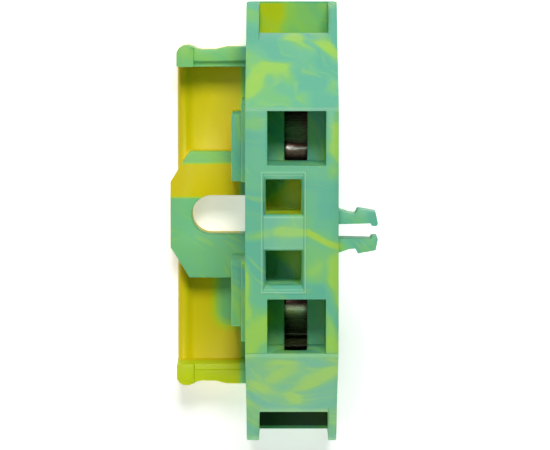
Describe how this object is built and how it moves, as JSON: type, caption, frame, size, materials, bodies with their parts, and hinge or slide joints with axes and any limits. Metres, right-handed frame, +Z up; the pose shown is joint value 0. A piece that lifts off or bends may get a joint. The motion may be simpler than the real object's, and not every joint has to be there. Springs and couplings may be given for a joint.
{
  "type": "terminal block",
  "caption": "Marbled green-yellow modular spring-clamp earth terminal block with a slotted screw flange and a split snap peg.",
  "frame": {"origin": "middle of the block's mounting face", "axes": "+X along the row towards the snap peg, +Y along the conductors towards the rear entry, +Z up from the mounting face"},
  "size_m": [0.0165, 0.0352, 0.0232],
  "materials": {
    "marbled_plastic": "satin moulded polyamide, green and yellow swirled together",
    "tinned_copper": "tin-plated copper, satin",
    "spring_steel": "rolled spring steel, satin"
  },
  "bodies": {
    "block": {"housing": "marbled_plastic", "side_cover": "marbled_plastic", "current_bar": "tinned_copper", "clamp_spring_rear_leg": "spring_steel", "clamp_spring_front_leg": "spring_steel"},
    "rear_clamp": {"clamp_spring_rear_arm": "spring_steel"},
    "front_clamp": {"clamp_spring_front_arm": "spring_steel"},
    "rear_prong": {"peg_prong_rear": "marbled_plastic"},
    "front_prong": {"peg_prong_front": "marbled_plastic"}
  },
  "joints": [
    {"name": "rear_clamp_open", "type": "hinge", "parent": "block", "child": "rear_clamp", "pos_m": [0.0003, 0.00382, 0.0126], "axis": [-1, 0, 0], "range_deg": [0, 25], "stiffness_Nm_per_rad": 0.12, "springref_deg": -11.46},
    {"name": "front_clamp_open", "type": "hinge", "parent": "block", "child": "front_clamp", "pos_m": [0.0003, -0.00382, 0.0126], "axis": [1, 0, 0], "range_deg": [0, 25], "stiffness_Nm_per_rad": 0.12, "springref_deg": -11.46},
    {"name": "rear_prong_flex", "type": "hinge", "parent": "block", "child": "rear_prong", "pos_m": [0.00366, 0.00115, 0.0202], "axis": [0, 0, -1], "range_deg": [0, 6], "stiffness_Nm_per_rad": 0.02},
    {"name": "front_prong_flex", "type": "hinge", "parent": "block", "child": "front_prong", "pos_m": [0.00366, -0.00115, 0.0202], "axis": [0, 0, 1], "range_deg": [0, 6], "stiffness_Nm_per_rad": 0.02}
  ]
}
